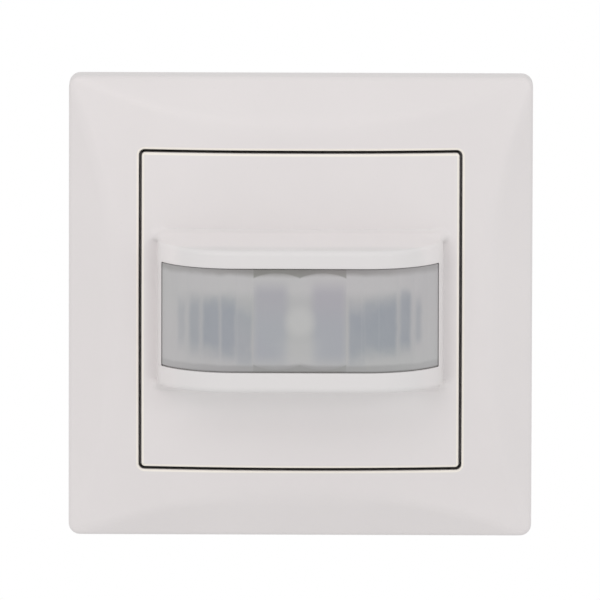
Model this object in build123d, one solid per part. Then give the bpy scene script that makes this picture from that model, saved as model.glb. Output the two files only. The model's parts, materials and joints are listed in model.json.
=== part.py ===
from build123d import *
import math
import os

# Flush motion sensor switch with its cover frame, in millimetres
# X runs right, Z runs up and the front looks along -Y; the wall plane is Y = 0
# A depth is measured from the wall plane towards the room, so it is -Y

# Overall form
plate_side = 55.0
edge_gap = 0.5
opening_corner = 1.5
frame_corner = 2.5
crown_radius = 205.0
bevel_angle = 33.0
bevel_end_angle = 10.0
bevel_flat = 6.4
bevel_radius = 14.0
rim_drop = 7.8
part_gap = 0.3
running_gap = 0.06
fit_gap = 0.15
overrun = 1.0
half_share = 0.5
eighth_turn = 45
small_sides = 12
hole_sides = 8

# Cover frame
frame_wall = 1.9
frame_inner_wall = 1.6
ledge_width = 2.0
ledge_thick = 1.6
ledge_depth = 4.0
rib_thick = 1.0
rib_back = 3.0
rib_spacing_share = 0.34

# Mounting ring
ring_corner = 4.0
ring_thick = 1.2
ring_hole_gap = 0.4
ring_border = 5.5
ring_room = 3.1
screw_inset = 3.8
screw_hole_radius = 1.8
slot_length = 12.0
relief_length = 9.0
relief_width = 2.5
relief_inset = 7.0

# Insert housing
pot_depth = 24.0
pot_wall = 1.6
pot_edge = 1.2
flange_gap = 0.4
flange_width = 1.8
flange_thick = 1.0
ear_radius = 3.2
ear_inset = 3.2
rivet_radius = 1.2
rivet_head_radius = 2.0
rivet_head_thick = 0.5
seat_width = 1.3
seat_length = 4.0
seat_thick = 1.1
lid_thick = 2.0
lid_step = 0.8

# Claws and their screws
claw_screw_inset = 5.2
claw_screw_z = 11.0
claw_screw_radius = 1.5
claw_screw_tip = 2.1
claw_head_radius = 2.7
claw_head_thick = 1.6
screw_slot_width = 0.8
screw_slot_deep = 0.9
claw_width = 6.0
claw_thick = 0.8
claw_foot_thick = 1.0
claw_foot_inset = 5.5
claw_hole_radius = 2.1
claw_inner_reach = 2.6
claw_outer_reach = 3.9
claw_front = 3.4
claw_tooth_reach = 1.1
claw_tooth_count = 3
pocket_width = 8.4
pocket_room = 3.2
tab_side_gap = 0.6

# Terminals
terminal_pitch = 9.0
terminal_flat_inset = 3.9
terminal_wall = 2.0
terminal_back_gap = 2.8
terminal_head_radius = 2.0
terminal_head_thick = 1.5
terminal_shank_radius = 1.25
terminal_head_recess = 0.2
cage_width = 6.4
cage_length = 6.4
cage_wall = 0.8
cage_height = 6.3
cage_travel = 2.0
partition_rise = 0.7
bar_width = 4.0
bar_thick = 0.8
bar_rise = 1.8
wire_hole_radius = 1.9

# Power board and what it carries
board_thick = 1.6
component_room = 12.0
power_board_gap = 0.3
component_gap = 1.0
component_middle = 3.0
relay_width = 18.6
relay_height = 11.0
relay_tall = 10.4
relay_edge = 0.6
film_width = 10.6
film_height = 5.0
film_tall = 10.6
film_edge = 0.4
electrolytic_radius = 3.5
electrolytic_tall = 9.4
electrolytic_bead = 0.3
varistor_radius = 4.6
varistor_thick = 4.2
varistor_edge = 0.9
varistor_gap = 0.4
fuse_length = 8.4
fuse_radius = 1.9
fuse_cap = 1.4
fuse_cap_step = 0.2

# Plug connection between the insert and the sensor head
plug_columns = 4
plug_rows = 2
plug_pitch = 2.54
plug_inset = 8.0
pin_side = 0.64
pin_reach = 6.0
plug_margin = 1.3
strip_thick = 1.4
socket_hole_side = 1.3
socket_hole_deep = 8.0

# Sensor cover: the centre plate with its raised head
plate_corner = 1.0
plate_wall = 1.7
plate_thick = 1.9
board_room = 3.2
head_side_margin = 2.8
head_flat_half = 11.0
head_end_turn = 0.6
head_side_rise = 1.4
head_top = 11.6
head_bottom = -12.5
lip_height = 2.8
lip_thick = 0.8
lens_edge_hold = 1.0
head_root = 1.0
head_edge = 0.5
plate_edge = 0.3
window_rise = 2.2

# Lens
lens_thick = 0.8
lens_end_hold = 1.4
lens_pitch = 3.05
lens_first = 8.0
lenslet_rise = 0.22
lens_border = 1.1
centre_element_radius = 9.6
centre_element_rise = 0.3
retainer_gap = 0.1
retainer_thick = 1.2
retainer_rail = 1.2
retainer_leg = 3.4
retainer_side = 3.3

# Sensor chassis behind the plate
chassis_wall = 1.3
chassis_base = 1.5
chassis_height = 4.3
chassis_corner = 1.6
post_side = 4.0
post_height = 1.9
lug_width = 7.0
lug_thick = 1.1
lug_reach = 0.7
lug_rise = 3.0
arm_inset = 6.6
arm_width = 6.0
arm_thick = 1.2
arm_tip = 0.5
arm_tip_length = 1.5
arm_reach = 7.5
vent_width = 1.6
vent_length = 4.5
vent_pitch = 3.4
vent_count = 4

# Sensor board and what it carries
sensor_board_gap = 1.2
pyro_offset = 0.5
pyro_z = -2.4
pyro_radius = 4.6
pyro_tall = 4.2
pyro_edge = 0.5
pyro_flange_radius = 4.9
pyro_flange_thick = 0.5
pyro_window_width = 4.8
pyro_window_height = 3.6
pyro_window_thick = 0.4
holder_radius = 5.6
holder_tall = 3.2
holder_wall = 0.5
guide_cup_radius = 2.6
guide_cup_tall = 2.2
guide_cup_hole = 1.9
guide_cup_hole_deep = 1.5
guide_stem_radius = 1.5
guide_head_radius = 2.3
guide_front_gap = 4.4
guide_head_tall = 3.0
light_sensor_side = 2.2
light_sensor_thick = 0.9
led_radius = 1.5
led_tall = 3.4
led_edge = 0.7
led_rise = 8.4
chip_side = 7.0
chip_thick = 1.1
chip_x = 12.5
chip_inset = 5.8
chip_pin_width = 0.5
chip_pin_reach = 0.9
chip_pin_thick = 0.3
chip_pin_count = 5
coil_radius = 3.0
coil_tall = 1.2
coil_x = -12.5
trimmer_side = 5.0
trimmer_thick = 1.4
trimmer_place = 12.0
trimmer_rise = 9.2
knob_radius = 2.1
knob_thick = 1.4
knob_slot_width = 0.7
knob_slot_deep = 0.6
knob_hole_gap = 0.3

# Widths, from the centre plate outwards and inwards
opening_side = plate_side + 2 * edge_gap
ledge_opening = opening_side - 2 * ledge_width
flange_radius = opening_side / 2 - flange_gap
pot_radius = flange_radius - flange_width
pot_inner = pot_radius - pot_wall
ring_hole_radius = pot_radius + ring_hole_gap
screw_spacing = 2 * (ring_hole_radius + screw_inset)
ring_side = screw_spacing + 2 * ring_border
frame_side = ring_side + 2 * (ring_room + frame_wall)
ear_reach = ring_hole_radius + ear_inset
relief_place = ring_side / 2 - relief_inset
rib_spacing = opening_side * rib_spacing_share
claw_screw_x = pot_radius - claw_screw_inset
pocket_inner_x = claw_screw_x - pocket_room
chassis_side = plate_side - 2 * plate_wall - 2 * part_gap
sensor_board_side = chassis_side - 2 * chassis_wall - 2 * sensor_board_gap
arm_place = pot_inner - arm_inset

# Depths, from the wall plane towards the room
flange_front = ring_thick + flange_thick
lid_front = flange_front + lid_step
chassis_back = lid_front + part_gap
chassis_floor = chassis_back + chassis_base
chassis_top = chassis_back + chassis_height
sensor_board_back = chassis_floor + post_height
sensor_board_front = sensor_board_back + board_thick
lug_depth = chassis_back + lug_rise
ledge_front = ledge_depth + ledge_thick
skirt_back = ledge_front + part_gap
crown_apex = sensor_board_front + board_room + plate_thick
frame_rim = crown_apex - rim_drop
pyro_seat = sensor_board_front + holder_tall
socket_front = lid_front - part_gap
arm_end_depth = lid_front - arm_reach

# Distances into the wall
pot_floor = pot_depth - pot_wall
power_board_back = pot_floor - component_room
power_board_front = power_board_back - board_thick
terminal_depth = pot_floor - terminal_back_gap - cage_length / 2
claw_foot_centre = pot_depth - claw_foot_inset
claw_screw_end = claw_foot_centre + claw_screw_tip

# Heights below the middle, from the pot's flat upwards
terminal_flat = pot_radius - terminal_flat_inset
cage_bottom = terminal_flat - terminal_wall - cage_travel - part_gap - fit_gap
cage_top = cage_bottom - cage_height
bar_bottom = cage_bottom - bar_rise
partition_top = cage_top - partition_rise
relay_bottom = component_gap - partition_top

# The head and its lens
bevel = math.radians(bevel_angle)
bevel_end = math.radians(bevel_end_angle)
head_half_width = plate_side / 2 - head_side_margin
head_reach = head_half_width - head_flat_half
head_end_radius = head_reach + head_end_turn
head_end_depth = crown_apex + head_side_rise
head_front = head_end_depth + head_end_radius - math.sqrt(head_end_radius ** 2 - head_reach ** 2)
window_top = head_top - lip_height
window_bottom = head_bottom + lip_height
window_middle = (window_top + window_bottom) / 2
lens_inset = lip_thick
lens_inner = lens_inset + lens_thick
lens_top = window_top + lens_edge_hold
lens_bottom = window_bottom - lens_edge_hold
lens_end_depth = head_end_depth - lens_end_hold
retainer_back = head_end_depth - retainer_leg
retainer_window_half = head_half_width - retainer_side

# The boards' own places
plug_z = pot_inner - plug_inset
plug_width = plug_columns * plug_pitch + plug_margin
plug_height = plug_rows * plug_pitch + plug_margin
pyro_place = head_flat_half + pyro_offset
led_z = pyro_z + led_rise
chip_z = chip_inset - sensor_board_side / 2
trimmer_z = chip_z + trimmer_rise


# Places a drawing at a depth, facing the room
def front_plane(depth):
    return Plane(origin=(0, -depth, 0), x_dir=(1, 0, 0), z_dir=(0, -1, 0))


# Places a drawing level, seen from below, so its second axis is the depth
def plan_plane(height):
    return Plane(origin=(0, 0, height), x_dir=(1, 0, 0), z_dir=(0, 0, -1))


# Thickens a drawing between two depths
def slab(outline, back, front):
    return extrude(front_plane(back) * outline, front - back)


# Thickens a plan drawing between two heights
def plan_slab(outline, bottom, top):
    return extrude(plan_plane(top) * outline, top - bottom)


def square(side, corner):
    return RectangleRounded(side, side, corner)


def block_square(side):
    return Rectangle(side, side)


def disc(radius, x, z):
    return Pos(x, z) * Circle(radius)


# A small round drawn with a few flat sides
def small_disc(radius, x, z):
    return Pos(x, z) * RegularPolygon(radius, small_sides)


# A small hole or pin with a few flat sides that lie outside its round
def small_hole(radius, x, z):
    return Pos(x, z) * RegularPolygon(radius, hole_sides, major_radius=False)


def plate(width, height, x, z):
    return Pos(x, z) * Rectangle(width, height)


# The ball that crowns the frame and the centre plate in both directions
def crown_ball(inset):
    return Pos(0, crown_radius - crown_apex, 0) * Sphere(crown_radius - inset)


# What a bevel takes off one side: a flat slope that rounds over into the crown
def bevel_wedge(inset):
    half = frame_side / 2
    centre_x = half - bevel_flat * math.cos(bevel) - bevel_radius * math.sin(bevel)
    centre_depth = frame_rim + bevel_flat * math.sin(bevel) - bevel_radius * math.cos(bevel)
    radius = bevel_radius - inset

    def round_point(angle):
        return centre_x + radius * math.sin(angle), centre_depth + radius * math.cos(angle)

    low_x, low_depth = round_point(bevel)
    high_x, high_depth = round_point(bevel_end)
    rim = (half - inset, low_depth - (half - inset - low_x) * math.tan(bevel))
    middle = (0, high_depth + high_x * math.tan(bevel_end))
    rounded = ThreePointArc((high_x, high_depth), round_point((bevel + bevel_end) / 2), (low_x, low_depth))
    outline = Polyline(
        (low_x, low_depth),
        rim,
        (half + overrun, rim[1]),
        (half + overrun, head_front),
        (0, head_front),
        middle,
        (high_x, high_depth),
    )
    return plan_slab(make_face(Curve() + [rounded, outline]), -half - overrun, half + overrun)


# The form inside an outline, set in by a wall from the crown and the bevels
def frame_form(inset, outline):
    form = slab(outline, 0, crown_apex) & crown_ball(inset)
    wedge = bevel_wedge(inset)
    for turn in range(4):
        form -= Rot(0, 90 * turn, 0) * wedge
    return form


def frame_ribs():
    reach = frame_side - frame_wall
    ribs = Part()
    for side in (-1, 1):
        across = side * rib_spacing
        ribs += slab(plate(rib_thick, reach, across, 0), rib_back, crown_apex)
        ribs += slab(plate(reach, rib_thick, 0, across), rib_back, crown_apex)
    return ribs & frame_form(frame_wall / 2, block_square(frame_side - frame_wall))


def make_cover_frame():
    form = frame_form(0, square(frame_side, frame_corner))
    inner_side = opening_side + 2 * frame_inner_wall
    inner_wall = slab(block_square(inner_side), 0, crown_apex)
    hollow = frame_form(frame_wall, block_square(frame_side - 2 * frame_wall)) - inner_wall
    frame = form - hollow + frame_ribs()
    back_room = slab(block_square(inner_side), -overrun, ring_thick + part_gap)
    frame -= back_room
    frame -= slab(square(opening_side, opening_corner), -overrun, crown_apex + overrun)
    ledge = block_square(opening_side + frame_inner_wall) - block_square(ledge_opening)
    return frame + slab(ledge, ledge_depth, ledge_front)


# The pocket in the pot beside each claw, wider by a margin
def claw_pockets(margin, inner_x):
    width = ring_side / 2 - inner_x + margin
    middle = inner_x - margin + width / 2
    right = plate(width, pocket_width + 2 * margin, middle, claw_screw_z)
    left = plate(width, pocket_width + 2 * margin, -middle, -claw_screw_z)
    return right + left


# The two ring tabs that carry the claw screws, one for each pocket
def claw_tabs():
    inner_x = claw_screw_x - claw_head_radius
    width = ring_hole_radius - inner_x
    height = pocket_width - 2 * tab_side_gap
    right = plate(width, height, inner_x + width / 2, claw_screw_z)
    left = plate(width, height, -inner_x - width / 2, -claw_screw_z)
    return right + left


def ear_places():
    reach = ear_reach * math.sqrt(half_share)
    return [(reach, -reach), (-reach, reach), (reach, reach), (-reach, -reach)]


def make_mounting_ring():
    outline = square(ring_side, ring_corner) - (Circle(ring_hole_radius) - claw_tabs())
    for side in (-1, 1):
        outline -= disc(screw_hole_radius, side * screw_spacing / 2, 0)
        slot = SlotOverall(slot_length, 2 * screw_hole_radius)
        outline -= Pos(0, side * screw_spacing / 2) * slot
        hole_radius = claw_screw_radius + running_gap
        outline -= small_hole(hole_radius, side * claw_screw_x, side * claw_screw_z)
        for end in (-1, 1):
            relief = Rot(0, 0, -side * end * eighth_turn) * Rectangle(relief_length, relief_width)
            outline -= Pos(side * relief_place, end * relief_place) * relief
    for x, z in ear_places():
        outline -= small_hole(rivet_radius, x, z)
    return slab(outline, 0, ring_thick)


# The pot's outer or inner outline, flat below the terminals
def pot_outline(radius, margin):
    outline = Circle(radius) - claw_pockets(margin, pocket_inner_x)
    flat = terminal_flat - (terminal_wall if margin else 0)
    return outline & plate(2 * radius, radius + flat, 0, (radius - flat) / 2)


# Four blocks on the pot's wall, one below each ear
def seat_blocks():
    reach = pot_inner - seat_width / 2
    blocks = Sketch()
    for x, z in ear_places():
        share = reach / ear_reach
        turn = math.degrees(math.atan2(z, x))
        blocks += Pos(x * share, z * share) * Rot(0, 0, turn) * Rectangle(2 * seat_width, seat_length)
    return blocks & pot_outline(pot_inner + pot_wall / 2, pot_wall)


def terminal_places():
    return [step * terminal_pitch for step in (-1, 0, 1)]


def terminal_partitions():
    thick = terminal_pitch - cage_width - 2 * part_gap
    height = terminal_flat - partition_top
    middle = -(terminal_flat + partition_top) / 2
    walls = Sketch()
    for x in terminal_places() + [2 * terminal_pitch]:
        walls += plate(thick, height, x - terminal_pitch / 2, middle)
    front = -(terminal_depth - cage_length / 2 - part_gap)
    room = pot_outline(pot_radius - pot_wall / 2, pot_wall)
    return slab(walls & room, -pot_floor - pot_wall / 2, front)


def make_insert_housing():
    pot = slab(pot_outline(pot_radius, 0), -pot_depth, ring_thick)
    pot = chamfer(pot.faces().sort_by(Axis.Y)[-1].edges(), pot_edge)
    hollow = slab(pot_outline(pot_inner, pot_wall), -pot_floor, ring_thick)
    flange = Circle(flange_radius)
    for x, z in ear_places():
        flange += small_disc(ear_radius, x, z)
    flange -= claw_pockets(0, pocket_inner_x)
    rim = slab(flange, ring_thick, flange_front)
    rim -= slab(pot_outline(pot_inner, pot_wall), ring_thick, flange_front)
    for x, z in ear_places():
        rim -= slab(small_hole(rivet_radius, x, z), ring_thick, flange_front)
    lid_seat = lid_front - lid_thick
    housing = pot - hollow + rim
    housing += slab(seat_blocks(), lid_seat - seat_thick, lid_seat)
    housing += slab(seat_blocks(), -power_board_back - seat_thick, -power_board_back)
    housing += terminal_partitions()
    for x in terminal_places():
        wire_z = -(bar_bottom - bar_thick + cage_top + cage_wall) / 2
        wire_hole = small_hole(wire_hole_radius, x, wire_z)
        housing -= slab(wire_hole, -pot_depth - overrun, -pot_floor + overrun)
        housing -= driver_bore(x)
    return housing


# The bore in the pot's flat in which a terminal screw turns
def driver_bore(x):
    bore = small_hole(terminal_head_radius + running_gap, x, terminal_depth)
    seat = terminal_flat - terminal_head_recess - terminal_head_thick - running_gap
    shank = small_hole(terminal_shank_radius + running_gap, x, terminal_depth)
    wide = extrude(Plane.XY.offset(-terminal_flat - overrun) * bore, terminal_flat + overrun - seat)
    narrow = extrude(Plane.XY.offset(-terminal_flat) * shank, terminal_wall + overrun)
    return wide + narrow


def make_ring_rivets():
    rivets = Part()
    for x, z in ear_places():
        rivets += slab(small_hole(rivet_radius, x, z), 0, flange_front)
        rivets += slab(small_hole(rivet_head_radius, x, z), flange_front, flange_front + rivet_head_thick)
    return rivets


def plug_opening(margin):
    return plate(plug_width + 2 * margin, plug_height + 2 * margin, 0, plug_z)


def make_insert_lid():
    outline = pot_outline(pot_inner - fit_gap, pot_wall + fit_gap)
    outline -= plug_opening(fit_gap)
    for side in (-1, 1):
        width = arm_thick + 2 * part_gap
        outline -= plate(width, arm_width + 2 * part_gap, side * arm_place, 0)
    return slab(outline, lid_front - lid_thick, lid_front)


def make_power_board():
    outline = pot_outline(pot_inner - power_board_gap, pot_wall + power_board_gap)
    return slab(outline, -power_board_back, -power_board_front)


# A block that stands on the back of the power board
def board_block(width, height, tall, x, z, edge):
    block = slab(plate(width, height, x, z), -power_board_back - tall, -power_board_back)
    return chamfer(block.edges().filter_by(Axis.Y) + block.faces().sort_by(Axis.Y)[-1].edges(), edge)


def make_relay():
    x = component_middle - relay_width / 2
    z = relay_bottom + relay_height / 2
    return board_block(relay_width, relay_height, relay_tall, x, z, relay_edge)


def make_film_capacitor():
    x = component_middle + component_gap + film_width / 2
    z = relay_bottom + film_height / 2
    return board_block(film_width, film_height, film_tall, x, z, film_edge)


def make_electrolytic_capacitor():
    x = component_middle + component_gap + electrolytic_radius
    z = relay_bottom + film_height + component_gap + electrolytic_radius
    outline = small_disc(electrolytic_radius, x, z)
    can = slab(outline, -power_board_back - electrolytic_tall, -power_board_back)
    return chamfer(can.faces().sort_by(Axis.Y)[-1].edges(), electrolytic_bead)


def make_varistor():
    centre = -power_board_back - varistor_radius
    x = component_middle - fuse_length - varistor_gap - varistor_radius
    outline = small_disc(varistor_radius, x, centre)
    bottom = relay_bottom + relay_height + component_gap
    body = plan_slab(outline, bottom, bottom + varistor_thick)
    ends = body.faces().sort_by(Axis.Z)
    return chamfer(ends[0].edges() + ends[-1].edges(), varistor_edge)


def make_fuse():
    middle = power_board_back + fuse_radius
    profile = RegularPolygon(fuse_radius - fuse_cap_step, small_sides)
    cap = RegularPolygon(fuse_radius, small_sides)
    z = relay_bottom + relay_height + component_gap + fuse_radius
    start = Plane(origin=(component_middle - fuse_length, middle, z), z_dir=(1, 0, 0))
    fuse = extrude(start * profile, fuse_length)
    fuse += extrude(start * cap, fuse_cap)
    fuse += extrude(start.offset(fuse_length - fuse_cap) * cap, fuse_cap)
    return fuse


def plug_places():
    places = []
    for column in range(plug_columns):
        x = (column - (plug_columns - 1) / 2) * plug_pitch
        for row in range(plug_rows):
            z = plug_z + (row - (plug_rows - 1) / 2) * plug_pitch
            places.append((x, z))
    return places


def make_header_socket():
    socket = slab(plug_opening(0), -power_board_front, socket_front)
    for x, z in plug_places():
        hole = plate(socket_hole_side, socket_hole_side, x, z)
        socket -= slab(hole, socket_front - socket_hole_deep, socket_front)
    return socket


def make_header_pins():
    pins = Part()
    for x, z in plug_places():
        pins += slab(plate(pin_side, pin_side, x, z), lid_front - pin_reach, sensor_board_back)
    return pins


def make_header_strip():
    strip = slab(plug_opening(0), sensor_board_back - strip_thick, sensor_board_back)
    return strip - make_header_pins()


# One flat bar for each terminal, soldered to the power board
def make_contact_bars():
    bars = Part()
    end = terminal_depth + cage_length / 2
    for x in terminal_places():
        middle = -bar_bottom + bar_thick / 2
        bars += slab(plate(bar_width, bar_thick, x, middle), -end, -power_board_back)
    return bars


# A clamp cage, drawn from the side: a tube that lifts the wire on to the bar
def make_terminal_cage(x):
    height = cage_bottom - cage_top
    middle = -(cage_bottom + cage_top) / 2
    outline = plate(cage_width, height, x, middle)
    outline -= plate(cage_width - 2 * cage_wall, height - 2 * cage_wall, x, middle)
    half = cage_length / 2
    cage = slab(outline, -terminal_depth - half, -terminal_depth + half)
    hole = small_hole(terminal_shank_radius + part_gap, x, terminal_depth)
    return cage - extrude(Plane.XY.offset(-cage_bottom - overrun) * hole, cage_wall + 2 * overrun)


def make_terminal_screw(x):
    head_bottom_z = -terminal_flat + terminal_head_recess
    outline = small_disc(terminal_head_radius, x, terminal_depth)
    head = extrude(Plane.XY.offset(head_bottom_z) * outline, terminal_head_thick)
    tip = -bar_bottom - part_gap
    shank = extrude(
        Plane.XY.offset(head_bottom_z) * Pos(x, terminal_depth) * Circle(terminal_shank_radius),
        tip - head_bottom_z,
    )
    slot = Pos(x, terminal_depth) * Rectangle(2 * terminal_head_radius + overrun, screw_slot_width)
    groove = extrude(Plane.XY.offset(head_bottom_z) * slot, screw_slot_deep)
    return head + shank - groove


# A claw: a foot round its screw, an arm beside the pot and a toothed end
def make_claw(side):
    x = claw_screw_x
    foot_back = claw_foot_centre + claw_foot_thick / 2
    foot_front = claw_foot_centre - claw_foot_thick / 2
    arm_x = x + claw_outer_reach - claw_thick
    points = [
        (x - claw_inner_reach, -foot_back),
        (x - claw_inner_reach, -foot_front),
        (arm_x, -foot_front),
        (arm_x, -claw_front),
        (arm_x + claw_thick + claw_tooth_reach, -claw_front),
        (arm_x + claw_thick, -claw_front - claw_thick),
        (arm_x + claw_thick, -foot_back),
    ]
    half = claw_width / 2
    claw = plan_slab(make_face(Polyline(*points, close=True)), claw_screw_z - half, claw_screw_z + half)
    hole = small_hole(claw_hole_radius, x, claw_screw_z)
    claw -= slab(hole, -foot_back - overrun, -foot_front + overrun)
    tooth_pitch = claw_width / claw_tooth_count
    tip_x = arm_x + claw_thick + claw_tooth_reach
    for tooth in range(claw_tooth_count - 1):
        z = claw_screw_z - half + (tooth + 1) * tooth_pitch
        notch = Pos(tip_x, z) * Rot(0, 0, eighth_turn) * Rectangle(claw_thick, claw_thick)
        claw -= slab(notch, -claw_front - 2 * claw_thick, -claw_front + overrun)
    return claw if side > 0 else Rot(0, 180, 0) * claw


def make_claw_screw(side):
    x = side * claw_screw_x
    z = side * claw_screw_z
    head_back = ring_thick + running_gap
    head_front_depth = head_back + claw_head_thick
    head = slab(small_disc(claw_head_radius, x, z), head_back, head_front_depth)
    screw = head + slab(disc(claw_screw_radius, x, z), -claw_screw_end, head_back)
    slot = plate(2 * claw_head_radius + overrun, screw_slot_width, x, z)
    return screw - slab(slot, head_front_depth - screw_slot_deep, head_front_depth + overrun)


# Half-width and depth of the head's end where its side wall starts
def head_end(inset):
    side = head_half_width - inset
    radius = head_end_radius - inset
    centre = head_front - head_end_radius
    depth = centre + math.sqrt(radius ** 2 - (side - head_flat_half) ** 2)
    return side, depth


# The head in plan: flat in the middle, round at both ends, set in by an inset
def head_outline(inset, base):
    side, end_depth = head_end(inset)
    radius = head_end_radius - inset
    centre = head_front - head_end_radius
    end_angle = math.asin((side - head_flat_half) / radius)
    middle_x = head_flat_half + radius * math.sin(end_angle / 2)
    middle_depth = centre + radius * math.cos(end_angle / 2)
    front = head_front - inset
    right = ThreePointArc((head_flat_half, front), (middle_x, middle_depth), (side, end_depth))
    left = ThreePointArc((-side, end_depth), (-middle_x, middle_depth), (-head_flat_half, front))
    flat = Line((-head_flat_half, front), (head_flat_half, front))
    walls = Polyline((side, end_depth), (side, base), (-side, base), (-side, end_depth))
    return make_face(Curve() + [left, flat, right, walls])


def head_block(inset, base, bottom, top):
    return plan_slab(head_outline(inset, base), bottom, top)


def make_sensor_cover():
    panel = slab(square(plate_side, plate_corner), skirt_back, crown_apex) & crown_ball(0)
    panel = chamfer(panel.faces().sort_by(Axis.Y)[0].outer_wire().edges(), plate_edge)
    head_base = skirt_back + plate_thick
    head = head_block(0, head_base, head_bottom, head_top)
    rims = [edge for edge in head.edges().filter_by(Plane.XY) if -edge.center().Y > head_base + overrun]
    head = chamfer(rims, head_edge)
    cover = panel + head
    cover = chamfer(root_edges(cover), head_root)
    inner_side = plate_side - 2 * plate_wall
    room = slab(block_square(inner_side), skirt_back - overrun, crown_apex)
    cover -= room & crown_ball(plate_thick)
    cover -= head_block(lens_inset, skirt_back, lens_bottom, lens_top)
    window_half = head_half_width - lip_thick
    window = Rectangle(2 * window_half, head_front - lens_end_depth)
    window = Pos(0, (head_front + lens_end_depth) / 2 + window_rise) * window
    cover -= plan_slab(window, window_bottom, window_top)
    return cover - lug_blocks(part_gap / 2)


# The edges where the raised head grows out of the crowned plate
def root_edges(cover):
    found = []
    for edge in cover.edges():
        middle = edge.center()
        inside = abs(middle.X) < head_half_width + overrun / 2
        level = crown_apex - (middle.X ** 2 + middle.Z ** 2) / (2 * crown_radius)
        if inside and abs(-middle.Y - level) < overrun / 2 and abs(middle.Z) < head_front:
            found.append(edge)
    return found


# A point on the head's plan at a length along it from the middle
def plan_point(length, inset):
    centre = head_front - head_end_radius
    radius = head_end_radius - inset
    if length < head_flat_half:
        return length, head_front - inset
    angle = (length - head_flat_half) / (head_end_radius - lens_inset)
    return head_flat_half + radius * math.sin(angle), centre + radius * math.cos(angle)


# How many whole upright strips fit beside the round elements on one side
def strip_count():
    radius = head_end_radius - lens_inset
    side = head_half_width - lens_inset
    length = head_flat_half + radius * math.asin((side - head_flat_half) / radius)
    return int((length - lens_first) / lens_pitch)


# One upright lens strip on the inner face, between two lengths along it
def lens_strip(start, end):
    middle = (start + end) / 2
    deep = lens_inset + lens_thick / 2
    outline = Curve() + [
        ThreePointArc(
            plan_point(start, lens_inner),
            plan_point(middle, lens_inner + lenslet_rise),
            plan_point(end, lens_inner),
        ),
        Polyline(
            plan_point(end, lens_inner),
            plan_point(end, deep),
            plan_point(start, deep),
            plan_point(start, lens_inner),
        ),
    ]
    return make_face(outline)


def make_fresnel_lens():
    band = head_outline(lens_inset, lens_end_depth) - head_outline(lens_inner, lens_end_depth)
    lens = plan_slab(band, lens_bottom, lens_top)
    for strip in range(strip_count()):
        start = lens_first + strip * lens_pitch
        right = lens_strip(start, start + lens_pitch)
        for face in (right, mirror(right, Plane.YZ)):
            lens += plan_slab(face, window_bottom + lens_border, window_top - lens_border)
    back = head_front - lens_inner
    height = window_top - window_bottom - 2 * lens_border
    for side in (-1, 1):
        element = disc(centre_element_radius, side * lens_first / 2, window_middle)
        field = plate(lens_first, height, side * lens_first / 2, window_middle)
        lens += slab(element & field, back - centre_element_rise, back + lens_thick / 2)
    return lens


# The frame that holds the lens against the lips from behind
def make_lens_retainer():
    front = lens_inner + centre_element_rise + retainer_gap
    outline = head_outline(front, retainer_back) - head_outline(front + retainer_thick, retainer_back)
    retainer = plan_slab(outline, lens_bottom, lens_top)
    middle = (retainer_back + head_front) / 2
    window = Pos(0, middle) * Rectangle(2 * retainer_window_half, head_front - retainer_back)
    return retainer - plan_slab(window, lens_bottom + retainer_rail, lens_top - retainer_rail)


# The snap lugs on the chassis walls, or with a margin the pockets for them
def lug_blocks(margin):
    reach = chassis_side / 2 + lug_reach + margin
    length = chassis_wall + lug_reach + margin
    middle = reach - length / 2
    width = lug_width + 2 * margin
    lugs = Sketch()
    for side in (-1, 1):
        for end in (-1, 1):
            lugs += plate(length, width, side * middle, end * chassis_side / 4)
    return slab(lugs, lug_depth - margin, lug_depth + lug_thick + margin)


def trimmer_places():
    return [-trimmer_place, trimmer_place]


def make_sensor_chassis():
    outer = square(chassis_side, chassis_corner)
    inner_side = chassis_side - 2 * chassis_wall
    chassis = slab(outer, chassis_back, chassis_top)
    chassis -= slab(block_square(inner_side), chassis_floor, chassis_top)
    post_place = (inner_side - post_side) / 2
    for side in (-1, 1):
        for end in (-1, 1):
            post = plate(post_side, post_side, side * post_place, end * post_place)
            chassis += slab(post, chassis_floor, sensor_board_back)
        chassis += latch_arm(side)
    chassis += lug_blocks(0)
    for x in trimmer_places():
        hole = small_hole(knob_radius + knob_hole_gap, x, trimmer_z)
        chassis -= slab(hole, chassis_back, chassis_floor)
    chassis -= slab(plug_opening(part_gap), chassis_back, chassis_floor)
    for step in range(vent_count):
        x = (step - (vent_count - 1) / 2) * vent_pitch
        vent = plate(vent_width, vent_length, x, chip_z)
        chassis -= slab(vent, chassis_back, chassis_floor)
    return chassis


# A flat arm that plugs into a slot of the insert's lid, with a tapered tip
def latch_arm(side):
    x = side * arm_place
    narrow = plate(arm_thick - arm_tip, arm_width - arm_tip, x, 0)
    tip_start = arm_end_depth + arm_tip_length
    arm = slab(plate(arm_thick, arm_width, x, 0), tip_start, chassis_back)
    start = front_plane(tip_start) * plate(arm_thick, arm_width, x, 0)
    tip = front_plane(arm_end_depth) * narrow
    return arm + loft([start.face(), tip.face()])


def make_sensor_board():
    return slab(block_square(sensor_board_side), sensor_board_back, sensor_board_front)


def make_pyro_holder(side):
    outline = small_disc(holder_radius, side * pyro_place, pyro_z)
    hole = small_disc(holder_radius - 2 * holder_wall, side * pyro_place, pyro_z)
    holder = slab(outline, sensor_board_front, pyro_seat)
    return holder - slab(hole, sensor_board_front, pyro_seat - holder_wall)


def make_pyro_can(side):
    x = side * pyro_place
    can = slab(small_disc(pyro_flange_radius, x, pyro_z), pyro_seat, pyro_seat + pyro_flange_thick)
    body = slab(small_disc(pyro_radius, x, pyro_z), pyro_seat, pyro_seat + pyro_tall)
    body = chamfer(body.faces().sort_by(Axis.Y)[0].edges(), pyro_edge)
    can += body
    window = plate(pyro_window_width, pyro_window_height, x, pyro_z)
    top = pyro_seat + pyro_tall
    return can - slab(window, top - pyro_window_thick, top + overrun)


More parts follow.
